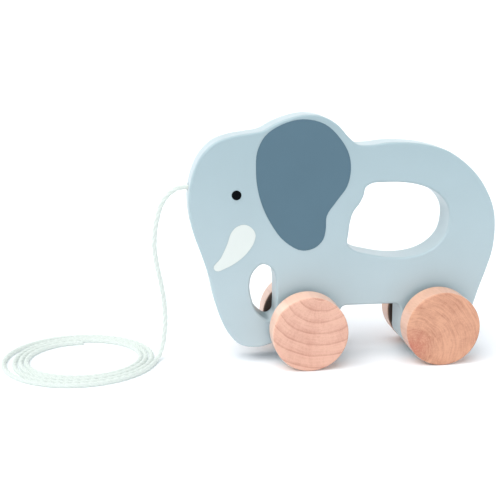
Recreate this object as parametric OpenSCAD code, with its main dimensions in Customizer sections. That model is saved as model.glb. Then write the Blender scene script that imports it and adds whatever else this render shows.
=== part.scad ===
// Pull-along elephant: a board body with two turning wheel sets and a pull cord.
// X runs from the head (-X) to the rump (+X), Y across the wheels, Z up.
// The origin is on the floor, midway between the two ends and the two sides.

/* [Board] */
// Thickness of the elephant board
board_t = 20; // [18:0.5:22]
// Radius of the rounding along every edge of the board
edge_r = 1.5; // [1:0.25:3]
// Height of the feet above the floor
foot_z = 8; // [6:0.5:9]
// Thickness of the painted ear, tusk and eye
paint_t = 0.2; // [0.1:0.05:0.3]
// Radius of the painted eye
eye_r = 2.9; // [2:0.1:3.5]

/* [Wheels] */
// Radius of a wheel, which is also the height of its axle
wheel_r = 23; // [21:0.5:25]
// Width of a wheel
wheel_w = 16; // [13:0.5:20]
// Radius of the rounding on a wheel's edges
wheel_edge_r = 1.2; // [0.8:0.2:3]
// Gap between the board and the inner face of a wheel
wheel_gap = 4; // [2:0.25:5]
// Place of the front axle along X
front_axle_x = -24; // [-26:0.5:-22]
// Place of the rear axle along X
rear_axle_x = 58; // [56:0.5:60]

/* [Axles] */
// Radius of an axle
axle_r = 3; // [2.5:0.25:4]
// Running clearance around an axle, on the radius
axle_clearance = 0.06; // [0.02:0.01:0.1]
// Depth of the blind hole in a wheel
wheel_bore_depth = 11; // [8:0.5:12]
// Outer radius of a spacer washer
washer_r = 6.5; // [5:0.25:8]
// Running gap between a washer and the board
washer_play = 0.4; // [0.3:0.05:0.8]

/* [Cord] */
// Diameter of the pull cord
cord_d = 3; // [2.5:0.25:3.5]
// Radius of the drilled peg that holds the cord in the head
peg_r = 2.6; // [2.25:0.05:3]
// Length of that peg
peg_len = 9; // [6:0.5:12]
// Radius of the knot behind the peg
knot_r = 2.4; // [2:0.1:2.4]
// Middle radius of the cord's outermost turn on the floor
coil_r_out = 48; // [46:0.5:50]
// Middle radius of its innermost turn
coil_r_in = 28.5; // [27:0.5:34]

/* [Hidden] */

eps = 0.5;              // overshoot of a cut past the face that it opens
span_steps = 4;         // points that a smooth curve adds for each span of its outline
arc_steps = 5;          // spans along a rounded corner
round_steps = 3;        // flats across the board's rounded edges
round_fn = 96;          // smoothness of turned parts
half_t = board_t / 2;
wheel_face = half_t + wheel_gap;            // distance of a wheel's inner face from the middle plane
left = -1;                                  // the elephant's left side faces -Y
right = 1;

// Radii of the corners and fillets of the legs
foot_r = 8;
toe_r = 5;
belly_r = 4;
cleft_r = 2.5;

// Sides of the legs along X, and the height of the belly
rear_heel_x = 78.5;
rear_leg_x = 36.5;
front_leg_x = -2;
front_toe_x = -39;
belly_z = 34.5;

// Angle around the rear heel at which it meets the rump
heel_start = -18;

// Front toe, and the angle around it at which it turns into the cleft below the trunk
toe_centre = [front_toe_x + toe_r, foot_z + toe_r];
toe_end = -160;
cleft_centre = toe_centre + (toe_r + cleft_r) * [cos(toe_end), sin(toe_end)];
cleft_end = 120;

// Head, ear, back and rump from the bottom of the trunk to the rear leg, [x, z]
upper_curve = [
    [-43.5, 12.5], [-50, 10], [-57, 9.8], [-64.5, 11.8], [-70.5, 18], [-76, 28.5], [-80, 41], [-83, 55],
    [-87.5, 69], [-92, 82], [-94.6, 95], [-94.8, 106], [-92.5, 117.5], [-87, 129], [-79, 136.5],
    [-69, 140], [-59, 141.5], [-51.5, 142.8], [-44, 146.8], [-35, 150.2], [-25, 152.1], [-14, 150.6],
    [-5.2, 145.4], [0.8, 138.8], [7, 134], [14, 133.7], [25, 134.9], [38, 134.8], [50, 133.2], [61.4, 129.9],
    [72.5, 123], [82.6, 113.4], [89.5, 102.8], [93.8, 91.7], [95, 80], [94.2, 67.5], [90.8, 55], [86.7, 43],
    [83.2, 31], [80, 18]];

// Opening that serves as the handle, [x, z]
handle_curve = [
    [15.5, 110], [24, 110.8], [34, 110.7], [44, 109.2], [53, 106], [60, 101], [64.3, 94], [65, 86],
    [63, 77.5], [57, 70.5], [49, 66.2], [39, 64.2], [27.5, 64.4], [16, 66.5], [6, 69.6], [2, 73.2],
    [2.3, 79.5], [3, 86], [5, 93], [9, 98.5], [11.3, 103.5], [12.3, 107.8]];

// Opening between the trunk and the front leg, [x, z]
trunk_curve = [
    [-50, 62.2], [-46.4, 60.8], [-43.6, 57.5], [-42.2, 52], [-42, 43], [-42, 34], [-42.7, 29], [-46, 26.8],
    [-50.5, 29], [-54.8, 34], [-57.4, 41.5], [-58.4, 49.5], [-55.8, 58]];

// Painted ear, [x, z]
ear_curve = [
    [-27, 149.4], [-39, 146.6], [-49.5, 139.6], [-54, 130.5], [-54.7, 120], [-54, 110.5], [-51.8, 101],
    [-46, 88], [-37, 76], [-26, 70.2], [-18.5, 71.8], [-13.7, 76.5], [-12.1, 83], [-11.7, 91], [-6, 99.8],
    [0.5, 109], [2.6, 119], [1.2, 128.5], [-4, 137.5], [-13.5, 146.3]];

// Painted tusk, [x, z]
tusk_curve = [
    [-62.2, 87.2], [-66.6, 85.7], [-69.3, 82.8], [-72, 75.5], [-76, 67], [-80.2, 60.6], [-79, 59.2],
    [-72.8, 60.8], [-65.8, 64.6], [-59, 71], [-55.5, 77], [-54.9, 81], [-57.2, 85]];

// Centre of the painted eye, [x, z]
eye_pos = [-66.3, 105];

// Mouth of the cord's hole in the head, and the hole's depth below it
cord_exit = [-94.6, 0, 109];
cord_hole_depth = 18;
peg_recess = 1;

// Free stretch of the cord from the knot to the coil, [x, y, z]
cord_route = [
    [-80, 0, 109], [-88, 0, 109], [-95, 0, 109], [-101, 0, 108.2], [-106.5, 1, 104.2], [-110.5, 1.5, 98],
    [-113, 2, 90], [-114.6, 2.5, 81], [-115, 3, 71], [-113.8, 4, 61], [-112, 5, 51.5], [-110.4, 6, 42],
    [-109.4, 7, 32.5], [-109.2, 7.5, 24], [-109.9, 7, 15.5], [-111.2, 6, 8.5], [-113, 3.5, 4],
    [-115, -1, 2], [-116.6, -5.5, 1.6]];
cord_sides = 8;
route_normal = [1, 1, -1];                  // a direction that the cord never runs along

// The coil on the floor
coil_centre = [-163, 8];
coil_play = 1;                              // room around the turns inside the coil's solid

// ---------------------------------------------------------------- outlines

function unit(v) = v / norm(v);

// Slope of a smooth curve at b, between its neighbours a and c
function slope(a, b, c) =
    let (before = norm(b - a), after = norm(c - b))
    ((b - a) * after / before + (c - b) * before / after) / (before + after);

// Points of the span from b to c, with its neighbours a and d
function span(a, b, c, d) =
    let (length = norm(c - b), leave = slope(a, b, c) * length, arrive = slope(b, c, d) * length)
    [for (i = [0 : span_steps - 1])
        let (t = i / span_steps)
        (2 * t ^ 3 - 3 * t ^ 2 + 1) * b + (t ^ 3 - 2 * t ^ 2 + t) * leave
            + (3 * t ^ 2 - 2 * t ^ 3) * c + (t ^ 3 - t ^ 2) * arrive];

// Smooth closed curve through all the points
function loop_curve(p) =
    let (n = len(p))
    [for (i = [0 : n - 1]) each span(p[(i + n - 1) % n], p[i], p[(i + 1) % n], p[(i + 2) % n])];

// Smooth open curve from the second point to the last but one
function open_curve(p) = [for (i = [1 : len(p) - 3]) each span(p[i - 1], p[i], p[i + 1], p[i + 2])];

// Arc around a centre, from one angle to another
function arc(centre, r, from, to) =
    [for (i = [0 : arc_steps])
        let (a = from + (to - from) * i / arc_steps)
        centre + r * [cos(a), sin(a)]];

// Arc that carries on from the end of the one before it
function next_arc(centre, r, from, to) =
    let (points = arc(centre, r, from, to))
    [for (i = [1 : arc_steps]) points[i]];

// Legs and belly, from the rear foot's heel to the front foot's toe
legs_curve = concat(
    arc([rear_heel_x - foot_r, foot_z + foot_r], foot_r, heel_start, -90),
    arc([rear_leg_x + foot_r, foot_z + foot_r], foot_r, -90, -180),
    arc([rear_leg_x - belly_r, belly_z - belly_r], belly_r, 0, 90),
    arc([front_leg_x + belly_r, belly_z - belly_r], belly_r, 90, 180),
    arc([front_leg_x - foot_r, foot_z + foot_r], foot_r, 0, -90),
    arc(toe_centre, toe_r, -90, toe_end),
    next_arc(cleft_centre, cleft_r, toe_end + 180, cleft_end));

body_curve = concat(open_curve(upper_curve), legs_curve);
handle_loop = loop_curve(handle_curve);
trunk_loop = loop_curve(trunk_curve);

// Outward unit normals of a closed clockwise curve
function normals(p) =
    let (n = len(p))
    [for (i = [0 : n - 1])
        let (run = unit(unit(p[(i + 1) % n] - p[i]) + unit(p[i] - p[(i + n - 1) % n])))
        [-run[1], run[0]]];

// ---------------------------------------------------------------- solids

// Solid skinned over equal rings of 3-D points, which either has two ends or runs back to its start
module skin(rings, closed = false) {
    n = len(rings[0]);
    count = len(rings);
    sides = [for (k = [0 : count - (closed ? 1 : 2)], i = [0 : n - 1])
        let (here = k * n, there = (k + 1) % count * n, j = (i + 1) % n)
        each [[here + i, there + i, here + j], [here + j, there + i, there + j]]];
    ends = closed ? [] : [[for (i = [0 : n - 1]) i], [for (i = [n - 1 : -1 : 0]) (count - 1) * n + i]];
    polyhedron([for (ring = rings) each ring], concat(sides, ends));
}

// Flat plate along an outline, between two places along Y
module plate(p, from, to) {
    translate([0, to, 0]) rotate([90, 0, 0]) linear_extrude(height = to - from) polygon(p);
}

// Cutter that rounds the board's edge along an outline, on one face.
// into is 1 where the wood is inside the outline and -1 where it is outside.
module edge_cutter(p, side, into) {
    steps = [for (i = [0 : round_steps])
        let (a = 90 - 90 * i / round_steps)
        edge_r * [1 - sin(a), 1 - cos(a)]];
    first = steps[0] + (steps[0] - steps[1]) / 2;
    last = steps[round_steps] + (steps[round_steps] - steps[round_steps - 1]) / 2;
    inner = [for (i = [1 : round_steps - 1]) steps[i]];
    section = concat([first], inner, [last], [[first[0], last[1]]]);
    ordered = side * into < 0 ? section : [for (i = [len(section) - 1 : -1 : 0]) section[i]];
    out = normals(p);
    skin([for (i = [0 : len(p) - 1])
        [for (s = ordered)
            let (v = p[i] - into * s[1] * out[i])
            [v[0], side * (half_t - s[0]), v[1]]]], closed = true);
}

// A cylinder along Y between two places
module rod(r, from, to) {
    translate([0, to, 0]) rotate([90, 0, 0]) cylinder(r = r, h = to - from, $fn = round_fn);
}

module body_board() {
    color([0.74, 0.81, 0.84])
    difference() {
        plate(body_curve, -half_t, half_t);
        for (opening = [handle_loop, trunk_loop]) plate(opening, -half_t - eps, half_t + eps);
        for (side = [left, right]) {
            edge_cutter(body_curve, side, 1);
            edge_cutter(handle_loop, side, -1);
            edge_cutter(trunk_loop, side, -1);
        }
        for (x = [front_axle_x, rear_axle_x])
            translate([x, 0, wheel_r]) rod(axle_r + axle_clearance, -half_t - eps, half_t + eps);
        translate([cord_exit[0] - edge_r, 0, cord_exit[2]]) rotate([0, 90, 0])
            cylinder(r = peg_r, h = cord_hole_depth + edge_r, $fn = round_fn);
    }
}

// Flat film of paint on one side of the board
module paint(p, side) {
    inner = side > 0 ? half_t : -half_t - paint_t;
    plate(p, inner, inner + paint_t);
}

module ear(side) {
    color([0.39, 0.50, 0.58]) paint(loop_curve(ear_curve), side);
}

module tusk(side) {
    color([0.95, 0.96, 0.95]) paint(loop_curve(tusk_curve), side);
}

module eye(side) {
    inner = side > 0 ? half_t : -half_t - paint_t;
    color([0.06, 0.08, 0.1]) translate([eye_pos[0], 0, eye_pos[1]]) rod(eye_r, inner, inner + paint_t);
}

// Half section of a wheel with its rounded edges and blind hole, [radius, height]
wheel_section = concat(
    [[0, wheel_bore_depth], [axle_r, wheel_bore_depth], [axle_r, 0]],
    arc([wheel_r - wheel_edge_r, wheel_edge_r], wheel_edge_r, -90, 0),
    arc([wheel_r - wheel_edge_r, wheel_w - wheel_edge_r], wheel_edge_r, 0, 90),
    [[0, wheel_w]]);

module wheel(x, side) {
    color([0.90, 0.72, 0.62])
    translate([x, side * wheel_face, wheel_r]) rotate([-90 * side, 0, 0])
        rotate_extrude($fn = round_fn) polygon(wheel_section);
}

module washer(x, side) {
    thick = wheel_gap - washer_play;
    inner = side > 0 ? half_t + washer_play : -wheel_face;
    color([0.85, 0.74, 0.58])
    translate([x, 0, wheel_r])
    difference() {
        rod(washer_r, inner, inner + thick);
        rod(axle_r, inner - eps, inner + thick + eps);
    }
}

module axle(x) {
    reach = wheel_face + wheel_bore_depth;
    color([0.82, 0.70, 0.54]) translate([x, 0, wheel_r]) rod(axle_r, -reach, reach);
}

module cord_peg() {
    color([0.85, 0.74, 0.58])
    translate([cord_exit[0] + peg_recess, 0, cord_exit[2]]) rotate([0, 90, 0])
    difference() {
        cylinder(r = peg_r, h = peg_len, $fn = round_fn);
        translate([0, 0, -eps]) cylinder(r = cord_d / 2, h = peg_len + 2 * eps, $fn = round_fn);
    }
}

module cord_knot() {
    color([0.93, 0.95, 0.93])
    translate([cord_exit[0] + peg_recess + peg_len + knot_r, 0, cord_exit[2]])
        sphere(r = knot_r, $fn = round_fn);
}

// Tube around the cord's free stretch
module cord_run() {
    n = len(cord_route);
    runs = [for (i = [0 : n - 1]) unit(cord_route[min(i + 1, n - 1)] - cord_route[max(i - 1, 0)])];
    rings = [for (i = [0 : n - 1])
        let (side = unit(cross(runs[i], route_normal)), up = cross(side, runs[i]))
        [for (k = [0 : cord_sides - 1])
            let (a = -360 * k / cord_sides)
            cord_route[i] + cord_d / 2 * (cos(a) * side + sin(a) * up)]];
    color([0.93, 0.95, 0.93]) skin(rings);
}

// Ring that holds all the turns of the coil
module cord_coil() {
    color([0.93, 0.95, 0.93])
    translate([coil_centre[0], coil_centre[1], 0])
    rotate_extrude($fn = round_fn)
        translate([coil_r_in - cord_d / 2 - coil_play, 0])
            square([coil_r_out - coil_r_in + cord_d + 2 * coil_play, cord_d + coil_play / 2]);
}

body_board();
ear(left);  // ear_left
ear(right);  // ear_right
tusk(left);  // tusk_left
tusk(right);  // tusk_right
eye(left);  // eye_left
eye(right);  // eye_right
axle(front_axle_x);  // front_axle
wheel(front_axle_x, left);  // front_left_wheel
wheel(front_axle_x, right);  // front_right_wheel
washer(front_axle_x, left);  // front_left_washer
washer(front_axle_x, right);  // front_right_washer
axle(rear_axle_x);  // rear_axle
wheel(rear_axle_x, left);  // rear_left_wheel
wheel(rear_axle_x, right);  // rear_right_wheel
washer(rear_axle_x, left);  // rear_left_washer
washer(rear_axle_x, right);  // rear_right_washer
cord_peg();
cord_knot();
cord_run();
cord_coil();
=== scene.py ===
"""Pull-along wooden elephant on a white floor, with its twisted cord lying in a loose coil.

Lengths are in metres. The elephant's left side faces -Y, towards the camera.
"""

import math

import bpy
import numpy as np
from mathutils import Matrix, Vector


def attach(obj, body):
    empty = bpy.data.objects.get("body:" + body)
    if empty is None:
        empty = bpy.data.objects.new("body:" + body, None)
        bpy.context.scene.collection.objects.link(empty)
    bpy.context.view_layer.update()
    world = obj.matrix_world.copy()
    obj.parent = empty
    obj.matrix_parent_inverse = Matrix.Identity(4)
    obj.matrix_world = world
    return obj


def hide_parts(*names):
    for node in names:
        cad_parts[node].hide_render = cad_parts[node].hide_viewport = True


MM = 0.001

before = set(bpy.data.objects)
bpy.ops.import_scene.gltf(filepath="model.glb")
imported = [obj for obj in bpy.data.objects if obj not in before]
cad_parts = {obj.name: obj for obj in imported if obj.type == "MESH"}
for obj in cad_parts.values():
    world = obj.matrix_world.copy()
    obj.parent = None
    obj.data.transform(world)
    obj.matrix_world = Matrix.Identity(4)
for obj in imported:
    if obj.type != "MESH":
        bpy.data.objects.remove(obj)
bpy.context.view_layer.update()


# ---------------------------------------------------------------- camera

LENS_MM, SENSOR_MM = 69.53, 36
CAMERA_PLACE = (-0.1311, -0.5707, 0.2036)
CAMERA_DOWN, CAMERA_TURN = math.radians(13.145), math.radians(-7.402)


def place_camera():
    data = bpy.data.cameras.new("camera")
    data.sensor_width = SENSOR_MM
    data.lens = LENS_MM
    data.clip_start = 0.01
    camera = bpy.data.objects.new("camera", data)
    camera.location = CAMERA_PLACE
    camera.rotation_euler = (math.radians(90) - CAMERA_DOWN, 0, CAMERA_TURN)
    bpy.context.scene.collection.objects.link(camera)
    bpy.context.scene.camera = camera


place_camera()


# ---------------------------------------------------------------- materials

class Shader:
    """A material whose nodes are added one by one, with the Principled shader at the end."""

    def __init__(self, name):
        self.material = bpy.data.materials.new(name)
        self.material.use_nodes = True
        self.tree = self.material.node_tree
        self.principled = self.tree.nodes["Principled BSDF"]

    def put(self, socket, value):
        """Sets a socket to a number or colour, or links it to another node's output."""
        if isinstance(value, bpy.types.NodeSocket):
            self.tree.links.new(value, socket)
        elif isinstance(value, tuple) and len(value) == 3 and socket.type == "RGBA":
            socket.default_value = (*value, 1)
        else:
            socket.default_value = value

    def set(self, **values):
        for name, value in values.items():
            self.put(self.principled.inputs[name.replace("_", " ")], value)

    def add(self, kind, inputs=None, **settings):
        made = self.tree.nodes.new(kind)
        for name, value in settings.items():
            setattr(made, name, value)
        for key, value in (inputs or {}).items():
            self.put(made.inputs[key], value)
        return made

    def math(self, operation, a, b=0.0):
        return self.add("ShaderNodeMath", {0: a, 1: b}, operation=operation).outputs[0]

    def vector(self, operation, a, b):
        return self.add("ShaderNodeVectorMath", {0: a, 1: b}, operation=operation).outputs["Vector"]

    def scaled(self, a, factor):
        """The vector times a number, which is the node's fourth socket."""
        return self.add("ShaderNodeVectorMath", {0: a, 3: factor}, operation="SCALE").outputs["Vector"]

    def object_place(self):
        return self.add("ShaderNodeTexCoord").outputs["Object"]

    def facing(self):
        """1 where the surface faces straight left or right, 0 on the narrow sides."""
        normal = self.add("ShaderNodeTexCoord").outputs["Normal"]
        return self.math("ABSOLUTE", self.add("ShaderNodeSeparateXYZ", {0: normal}).outputs["Y"])

    def noise(self, place, scale, detail=2.0, roughness=0.5, distortion=0.0):
        made = self.add("ShaderNodeTexNoise", {
            "Vector": place, "Scale": scale, "Detail": detail,
            "Roughness": roughness, "Distortion": distortion})
        return made.outputs["Fac"]

    def remap(self, value, low, high, to_low, to_high):
        made = self.add("ShaderNodeMapRange", {
            "Value": value, "From Min": low, "From Max": high, "To Min": to_low, "To Max": to_high})
        return made.outputs["Result"]

    def mix(self, factor, a, b):
        made = self.add("ShaderNodeMix", data_type="RGBA")
        self.put(made.inputs["Factor"], factor)
        self.put(made.inputs[6], a)
        self.put(made.inputs[7], b)
        return made.outputs[2]

    def ramp(self, value, stops):
        made = self.add("ShaderNodeValToRGB", {"Fac": value})
        elements = made.color_ramp.elements
        while len(elements) < len(stops):
            elements.new(1.0)
        for element, (place, level) in zip(elements, stops):
            element.position = place
            element.color = (level, level, level, 1)
        return made.outputs["Color"]

    def bump(self, height, distance, strength, under=None):
        inputs = {"Height": height, "Distance": distance, "Strength": strength}
        if under is not None:
            inputs["Normal"] = under
        return self.add("ShaderNodeBump", inputs).outputs["Normal"]


def srgb(red, green, blue):
    """The linear colour of an 8-bit sRGB one."""
    def linear(level):
        level /= 255
        return level / 12.92 if level <= 0.04045 else ((level + 0.055) / 1.055) ** 2.4
    return (linear(red), linear(green), linear(blue))


FRONT_X, REAR_X, AXLE_Z = -24 * MM, 58 * MM, 23 * MM
WHEEL_FACE, WHEEL_EDGE = 14 * MM, 1.2 * MM       # where a wheel's inner face lies, and its rounded edge
# Near-black painted shade for the wheels' inner faces, standing in for the shadow in the narrow gap by the
# board
INNER_SHADE_DARK = srgb(34, 23, 16)
# Paler rim colour: partly the wood's side grain, partly a painted highlight
RIM_PALE_AND_LIT = srgb(255, 212, 186)
FLOOR_LIT_Z, FULL_Z = 0.015, 0.15                    # heights between which the paint goes from lighter near the floor, painted light for the floor's bounce, to its full colour
COAT_ROUGHNESS = 0.2


def paint(name, colour, floor_lit=None, rubbed_and_lit=None, roughness=0.42, shine=0.4, coat=0.0):
    """Satin paint over wood: faint clouding, orange peel and a little of the wood's grain.

    Towards the floor the colour turns lighter, painted light standing in for the white floor's bounce, and
    on the narrow sides into another lighter colour, partly worn paint and partly painted light. Both colours
    were chosen to match the photograph.
    """
    s = Shader(name)
    place = s.object_place()
    height = s.add("ShaderNodeSeparateXYZ", {0: place}).outputs["Z"]
    # Lighter towards the floor: painted light for the white floor's bounce
    tone = s.mix(s.remap(height, FLOOR_LIT_Z, FULL_Z, 0, 1), floor_lit or colour, colour)
    # Lighter on the narrow sides: partly worn paint, partly painted light on the walls and edges
    if rubbed_and_lit:
        tone = s.mix(s.remap(s.facing(), 0.2, 0.9, 0.7, 0), tone, rubbed_and_lit)
    clouds = s.remap(s.noise(place, 22, detail=3), 0.3, 0.7, 0.97, 1.015)
    s.set(Base_Color=s.scaled(tone, clouds))
    along = s.vector("MULTIPLY", place, (18, 60, 420))
    lines = s.bump(s.noise(along, 1, detail=3), 0.000006, 0.4)
    s.set(Normal=s.bump(s.noise(place, 700, detail=1), 0.00001, 0.3, under=lines))
    s.set(Roughness=s.remap(s.noise(place, 60, detail=2), 0.3, 0.7, roughness - 0.03, roughness + 0.04))
    s.set(Specular_IOR_Level=shine, Coat_Weight=coat, Coat_Roughness=COAT_ROUGHNESS)
    return s.material


def wood(name, pale, dark, pith, ring_gap, line, first=0.0, wander=0.0006, rays=0.12, streaks=0.15,
         patchy=0.16, blotch=None, inner=None, rim=0.6):
    """Turned hardwood whose trunk ran along Y: growth rings and rays on its faces, fibres along its rim.

    pith is the (x, z) place of the rings' centre, ring_gap the distance between two rings and first the
    radius of the innermost. line, rays, streaks and patchy say how strongly the rings, rays, fine lines
    and clouds show, and wander how far the rings stray. blotch is the place, radius and colour of a stain.
    inner is the distance from the middle plane of an inner face painted near black, painted shade for the
    narrow gap next to the board, and rim how much paler the rim is painted, partly its side grain and partly
    a painted highlight.
    """
    s = Shader(name)
    place = s.object_place()
    shift = s.vector("SUBTRACT", s.add("ShaderNodeTexNoise", {
        "Vector": place, "Scale": 55, "Detail": 2}).outputs["Color"], (0.5, 0.5, 0.5))
    bent = s.vector("ADD", place, s.vector("MULTIPLY", shift, (wander * 4, 0, wander * 4)))
    parts = s.add("ShaderNodeSeparateXYZ", {0: s.vector("SUBTRACT", bent, (pith[0], 0, pith[1]))})
    x, y, z = (parts.outputs[axis] for axis in "XYZ")
    distance = s.math("SQRT", s.math("ADD", s.math("MULTIPLY", x, x), s.math("MULTIPLY", z, z)))
    angle = s.math("ARCTAN2", x, z)
    turns = s.math("DIVIDE", s.math("SUBTRACT", distance, first), ring_gap)
    rings = s.ramp(s.math("FRACT", turns), [(0.0, 0.4), (0.05, 0.0), (0.5, 0.12), (0.82, 0.34), (0.95, 1.0)])
    fine_place = s.add("ShaderNodeCombineXYZ", {
        "X": s.math("MULTIPLY", turns, 7), "Y": s.math("MULTIPLY", angle, 3)}).outputs["Vector"]
    fine = s.noise(fine_place, 1, detail=2)
    ray_place = s.add("ShaderNodeCombineXYZ", {
        "X": s.math("MULTIPLY", angle, 22), "Y": s.math("MULTIPLY", distance, 190),
        "Z": s.math("MULTIPLY", y, 60)}).outputs["Vector"]
    ray = s.noise(ray_place, 1, detail=3, roughness=0.65, distortion=0.5)
    fibres = s.noise(s.vector("MULTIPLY", place, (1500, 60, 1500)), 1, detail=3, roughness=0.6)
    pores = s.noise(s.vector("MULTIPLY", place, (2600, 120, 2600)), 1, detail=1)
    patches = s.noise(place, 60, detail=3, distortion=0.6)
    amount = s.math("MULTIPLY", rings, line)
    for noise, low, high in ((fine, -0.6 * streaks, streaks), (ray, -rays, rays), (fibres, -0.05, 0.1),
                             (pores, -0.06, 0.08), (patches, -0.6 * patchy, patchy)):
        amount = s.math("ADD", amount, s.remap(noise, 0.3, 0.7, low, high))
    colour = s.mix(s.math("MAXIMUM", s.math("MINIMUM", amount, 1), 0), pale, dark)
    if blotch:
        where, size, tint = blotch
        away = s.add("ShaderNodeVectorMath", {0: bent, 1: where}, operation="DISTANCE").outputs["Value"]
        colour = s.mix(s.math("MULTIPLY", s.remap(away, 0, size, 1, 0), s.remap(ray, 0.3, 0.65, 0.2, 0.9)),
                       colour, tint)
    # Painted shade: the inner face, in the narrow gap next to the board, is coloured near black
    if inner:
        inner_shade = s.remap(s.math("ABSOLUTE", y), inner, inner + WHEEL_EDGE, 0.92, 0)
        colour = s.mix(inner_shade, colour, INNER_SHADE_DARK)
    # Paler where the surface faces outwards on the rim: partly side grain, partly a painted highlight
    s.set(Base_Color=s.mix(s.remap(s.facing(), 0.1, 0.75, rim, 0), colour, RIM_PALE_AND_LIT))
    s.set(Roughness=s.remap(fibres, 0.3, 0.7, 0.48, 0.6))
    s.set(Normal=s.bump(s.math("ADD", fibres, rings), 0.00003, 0.5))
    s.set(Specular_IOR_Level=0.3, Coat_Weight=0.6, Coat_Roughness=COAT_ROUGHNESS)
    return s.material


def cotton(name, colour, painted_glow):
    """Soft white twine: fibres run along each strand, by the cord's own UV map.

    The last argument is the strength of a painted glow: emission standing in for light soaking through the
    thin white strands, which lifts their shaded sides.
    """
    s = Shader(name)
    uv = s.add("ShaderNodeUVMap", uv_map="strand").outputs["UV"]
    fibres = s.noise(s.vector("MULTIPLY", uv, (16, 0.7, 1)), 1, detail=4, roughness=0.7)
    fuzz = s.noise(s.object_place(), 1600, detail=2)
    tone = s.add("ShaderNodeRGB")
    tone.outputs[0].default_value = (*colour, 1)
    s.set(Base_Color=s.scaled(tone.outputs[0], s.remap(fibres, 0.25, 0.75, 0.7, 1.15)))
    s.set(Normal=s.bump(s.math("ADD", fibres, s.math("MULTIPLY", fuzz, 0.5)), 0.0002, 0.9))
    s.set(Roughness=0.9, Specular_IOR_Level=0.15)
    # Painted glow: emission in place of light passing through the cotton
    s.set(Emission_Color=colour, Emission_Strength=painted_glow)
    return s.material


# ---------------------------------------------------------------- mesh helpers

def add_object(name, data, material):
    made = bpy.data.objects.new(name, data)
    bpy.context.scene.collection.objects.link(made)
    made.data.materials.append(material)
    return made


def smooth(mesh):
    mesh.polygons.foreach_set("use_smooth", [True] * len(mesh.polygons))


# ---------------------------------------------------------------- cord

CORD_D = 3 * MM
STRANDS, STRAND_SIDES = 3, 10
STRAND_R, STRAND_ORBIT = 0.27 * CORD_D, 0.24 * CORD_D
CORD_LAY = 15 * MM                               # length of one full twist
ROUTE_STEP_MM, CORD_STEP = 0.8, 0.7 * MM
END_TAPER = (0.55, 0.85)                         # size of a strand's last two rings at each end

# The free stretch from the knot to the coil, as in the CAD model
ROUTE_MM = [
    (-80, 0, 109), (-88, 0, 109), (-95, 0, 109), (-101, 0, 108.2), (-106.5, 1, 104.2), (-110.5, 1.5, 98),
    (-113, 2, 90), (-114.6, 2.5, 81), (-115, 3, 71), (-113.8, 4, 61), (-112, 5, 51.5), (-110.4, 6, 42),
    (-109.4, 7, 32.5), (-109.2, 7.5, 24), (-109.9, 7, 15.5), (-111.2, 6, 8.5), (-113, 3.5, 4),
    (-115, -1, 2), (-116.6, -5.5, 1.6)]

# The coil: its centre, the angle where it starts, and its radius after each quarter turn. The pale strands
# merge in the photograph, which fits anything from 2.7 to about 5 turns; 3.7 is the choice made here.
COIL_CENTRE_MM = (-163, 8)
CORD_REST_MM = 1.53
COIL_START = -16.2
COIL_QUARTERS = 14.85
COIL_RADII_MM = [48.3, 46.8, 45.2, 42.4, 45.1, 42.4, 38.6, 38.3,
                 41.2, 37.6, 35.1, 34.7, 38, 33.6, 31.6, 29.6]


def smooth_through(points, spacing):
    """Points close together on a smooth curve through the given ones."""
    points = np.array(points, float)
    padded = np.vstack([2 * points[0] - points[1], points, 2 * points[-1] - points[-2]])
    out = []
    for a, b, c, d in zip(padded, padded[1:], padded[2:], padded[3:]):
        count = max(2, int(np.linalg.norm(c - b) / spacing))
        for t in np.arange(count) / count:
            out.append(0.5 * (2 * b + (c - a) * t + (2 * a - 5 * b + 4 * c - d) * t ** 2
                              + (3 * b - 3 * c + d - a) * t ** 3))
    out.append(points[-1])
    return np.array(out)


def even(points, spacing):
    """The same line with points at equal distances."""
    steps = np.linalg.norm(np.diff(points, axis=0), axis=1)
    along = np.concatenate([[0], np.cumsum(steps)])
    places = np.linspace(0, along[-1], int(along[-1] / spacing) + 1)
    return np.column_stack([np.interp(places, along, points[:, k]) for k in range(3)]), along[-1]


def coil_points():
    """The turns on the floor, 24 points to a turn."""
    radii = np.array(COIL_RADII_MM)
    stations = np.arange(len(radii))
    fine = smooth_through(np.column_stack([stations, radii, 0 * radii]), 0.05)
    count = int(COIL_QUARTERS * 6)
    points = []
    for i in range(1, count + 1):
        quarter = COIL_QUARTERS * i / count
        angle = math.radians(COIL_START - 90 * quarter)
        radius = np.interp(quarter, fine[:, 0], fine[:, 1])
        points.append((COIL_CENTRE_MM[0] + radius * math.cos(angle),
                       COIL_CENTRE_MM[1] + radius * math.sin(angle), CORD_REST_MM))
    return points


def cord_path():
    line = smooth_through(ROUTE_MM + coil_points(), ROUTE_STEP_MM) * MM
    return even(line, CORD_STEP)


def carried_frames(path):
    """A direction across the line and the one square to both, carried along without twist."""
    runs = np.gradient(path, axis=0)
    runs /= np.linalg.norm(runs, axis=1)[:, None]
    across = np.cross(runs[0], (0, 0, 1))
    across /= np.linalg.norm(across)
    sides = []
    for run in runs:
        across = across - run * across.dot(run)
        across /= np.linalg.norm(across)
        sides.append(across)
    sides = np.array(sides)
    return sides, np.cross(runs, sides)


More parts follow.
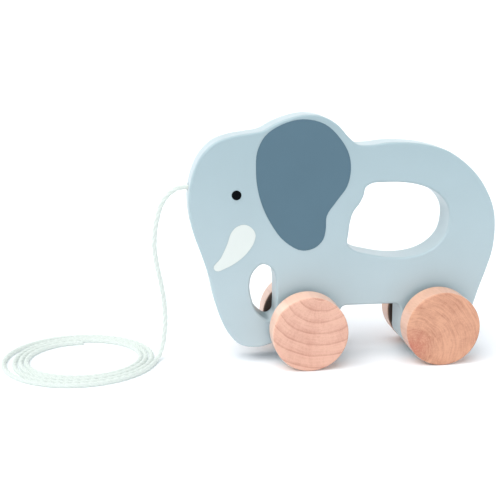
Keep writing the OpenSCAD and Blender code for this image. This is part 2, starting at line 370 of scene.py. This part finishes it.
def twisted_cord(name, path, material):
    """Strands laid around each other along the path, each a closed tube."""
    sides = STRAND_SIDES
    across, up = carried_frames(path)
    spacing = np.linalg.norm(path[1] - path[0])
    vertices, faces, uvs = [], [], []
    for strand in range(STRANDS):
        start = len(vertices)
        phase = 2 * np.pi * (np.arange(len(path)) * spacing / CORD_LAY + strand / STRANDS)
        outward = np.cos(phase)[:, None] * across + np.sin(phase)[:, None] * up
        centre = path + STRAND_ORBIT * outward
        heading = np.gradient(centre, axis=0)
        heading /= np.linalg.norm(heading, axis=1)[:, None]
        sideways = np.cross(heading, outward)
        taper = np.ones(len(path))
        taper[:2] = END_TAPER
        taper[-2:] = END_TAPER[::-1]
        for k in range(len(path)):
            for j in range(sides):
                turn = 2 * np.pi * j / sides
                vertices.append(centre[k] + taper[k] * STRAND_R * (
                    np.cos(turn) * outward[k] + np.sin(turn) * sideways[k]))
        for k in range(len(path) - 1):
            for j in range(sides):
                n = (j + 1) % sides
                a, b = start + k * sides, start + (k + 1) * sides
                faces.append((a + j, a + n, b + n, b + j))
                u, next_u = j / sides, (j + 1) / sides
                v, next_v = k * spacing * 1000, (k + 1) * spacing * 1000
                uvs.append([(u, v), (next_u, v), (next_u, next_v), (u, next_v)])
        last = start + (len(path) - 1) * sides
        faces.append(tuple(start + j for j in range(sides - 1, -1, -1)))
        uvs.append([(0, 0)] * sides)
        faces.append(tuple(last + j for j in range(sides)))
        uvs.append([(0, 0)] * sides)
    mesh = bpy.data.meshes.new(name)
    mesh.from_pydata([tuple(v) for v in vertices], [], faces)
    layer = mesh.uv_layers.new(name="strand")
    layer.data.foreach_set("uv", [x for face in uvs for corner in face for x in corner])
    mesh.validate()
    smooth(mesh)
    return add_object(name, mesh, material)


COTTON = cotton("cotton", srgb(172, 179, 175), painted_glow=0.86)
path, cord_length = cord_path()
pull_cord = twisted_cord("pull_cord", path, COTTON)
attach(pull_cord, "board")
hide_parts("cord_run", "cord_coil")


# ---------------------------------------------------------------- wood and paint on the CAD nodes

WELD_DISTANCE = 1e-6
FLAT_ANGLE = math.radians(0.5)
FACE_WEIGHT = 80


def dress(node, material):
    """Gives a CAD node its material, with its round surfaces shaded smooth."""
    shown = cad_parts[node]
    shown.data.materials.clear()
    shown.data.materials.append(material)
    smooth(shown.data)
    weld = shown.modifiers.new("weld", "WELD")
    weld.merge_threshold = WELD_DISTANCE
    flats = shown.modifiers.new("flats", "DECIMATE")
    flats.decimate_type = "DISSOLVE"
    flats.angle_limit = FLAT_ANGLE
    shading = shown.modifiers.new("shading", "WEIGHTED_NORMAL")
    shading.mode = "FACE_AREA"
    shading.weight = FACE_WEIGHT
    shading.keep_sharp = False


# The lighter colour low down is painted light from the floor's bounce; the narrow sides' colour is partly
# worn paint, partly painted light
BODY_PAINT = paint("body_paint", srgb(153, 173, 179), floor_lit=srgb(174, 189, 194), rubbed_and_lit=srgb(176, 191, 195),
                   roughness=0.4, shine=0.3, coat=0.25)
EAR_PAINT = paint("ear_paint", srgb(82, 108, 122), shine=0.2)
TUSK_PAINT = paint("tusk_paint", srgb(208, 214, 210))
EYE_PAINT = paint("eye_paint", srgb(4, 6, 9), roughness=0.5, shine=0.05)

dress("body_board", BODY_PAINT)
for side in ("left", "right"):
    dress("ear_" + side, EAR_PAINT)
    dress("tusk_" + side, TUSK_PAINT)
    dress("eye_" + side, EYE_PAINT)

PINK_PALE, PINK_DARK = srgb(215, 168, 147), srgb(166, 108, 90)
TAN_PALE, TAN_DARK = srgb(205, 151, 121), srgb(146, 84, 60)

# A reddish stain low on the near rear wheel's face, as in the photograph
STAIN = ((REAR_X - 20 * MM, -30 * MM, AXLE_Z - 11 * MM), 15 * MM, srgb(172, 84, 68))

# Each wheel's inner face gets painted shade: it is coloured near black for the shadow in the gap by the
# board
dress("front_left_wheel", wood(
    "front_left_wood", PINK_PALE, PINK_DARK, (FRONT_X + 6 * MM, AXLE_Z + 30 * MM), 7 * MM,
    line=0.42, first=2 * MM, inner=WHEEL_FACE))
dress("rear_left_wheel", wood(
    "rear_left_wood", TAN_PALE, TAN_DARK, (REAR_X - 20 * MM, AXLE_Z - 13 * MM), 7 * MM,
    line=0.14, wander=0.0016, rays=0.09, streaks=0.24, patchy=0.34, inner=WHEEL_FACE, rim=0.4,
    blotch=STAIN))
dress("front_right_wheel", wood(
    "front_right_wood", PINK_PALE, PINK_DARK, (FRONT_X - 14 * MM, AXLE_Z - 30 * MM), 5.6 * MM,
    line=0.4, inner=WHEEL_FACE, rim=0.5))
dress("rear_right_wheel", wood(
    "rear_right_wood", TAN_PALE, TAN_DARK, (REAR_X + 24 * MM, AXLE_Z + 16 * MM), 6.1 * MM,
    line=0.35, wander=0.0012, inner=WHEEL_FACE, rim=0.35))

DOWEL = wood("dowel_wood", srgb(222, 190, 150), srgb(182, 140, 98), (0.3, 0.02), 1.6 * MM,
             line=0.35, rim=0.2)
for node in ("front_axle", "rear_axle", "front_left_washer", "front_right_washer",
             "rear_left_washer", "rear_right_washer", "cord_peg"):
    dress(node, DOWEL)
dress("cord_knot", COTTON)


# ---------------------------------------------------------------- floor and light

FLOOR_WHITE = (0.9, 0.925, 0.95)
SWEEP_FLAT, SWEEP_CURVE, SWEEP_LEAN = 1.0, 3.0, math.radians(72)
SWEEP_STEPS, SWEEP_SIDES = 24, 96
SKY_WHITE, SKY_STRENGTH = (0.93, 0.97, 1.0, 1), 0.3

# Each light: the direction it shines from, its softness in degrees and its strength
KEY = ((-0.36, -0.25, 1.0), 74, 2.65)
FILL = ((-0.75, -1.0, 0.8), 70, 1.5)


def white_sweep():
    """A round white floor, flat around the toy, that curves up far away on every side."""
    s = Shader("floor_white")
    s.set(Base_Color=FLOOR_WHITE, Roughness=0.85, Specular_IOR_Level=0.1)
    rings = [(SWEEP_FLAT, 0.0)]
    for i in range(1, SWEEP_STEPS + 1):
        lean = SWEEP_LEAN * i / SWEEP_STEPS
        rings.append((SWEEP_FLAT + SWEEP_CURVE * math.sin(lean), SWEEP_CURVE * (1 - math.cos(lean))))
    sides = SWEEP_SIDES
    vertices = [(radius * math.cos(2 * math.pi * k / sides), radius * math.sin(2 * math.pi * k / sides), z)
                for radius, z in rings for k in range(sides)]
    faces = [tuple(range(sides))]
    for i in range(len(rings) - 1):
        for k in range(sides):
            n = (k + 1) % sides
            faces.append((i * sides + k, (i + 1) * sides + k, (i + 1) * sides + n, i * sides + n))
    mesh = bpy.data.meshes.new("floor")
    mesh.from_pydata(vertices, [], faces)
    smooth(mesh)
    add_object("floor", mesh, s.material)


def far_soft_light(name, towards, softness, strength):
    """A large even white light far away, in the direction given from the toy."""
    data = bpy.data.lights.new(name, "SUN")
    data.angle = math.radians(softness)
    data.energy = strength
    lamp = bpy.data.objects.new(name, data)
    lamp.rotation_euler = Vector(towards).to_track_quat("Z", "Y").to_euler()
    lamp.location = Vector(towards)
    bpy.context.scene.collection.objects.link(lamp)


def studio():
    white_sweep()
    world = bpy.data.worlds.new("studio")
    bpy.context.scene.world = world
    world.use_nodes = True
    world.node_tree.nodes["Background"].inputs["Color"].default_value = SKY_WHITE
    world.node_tree.nodes["Background"].inputs["Strength"].default_value = SKY_STRENGTH
    far_soft_light("key", *KEY)
    far_soft_light("fill", *FILL)
    bpy.context.scene.view_settings.view_transform = "Standard"
    bpy.context.scene.view_settings.look = "None"


studio()
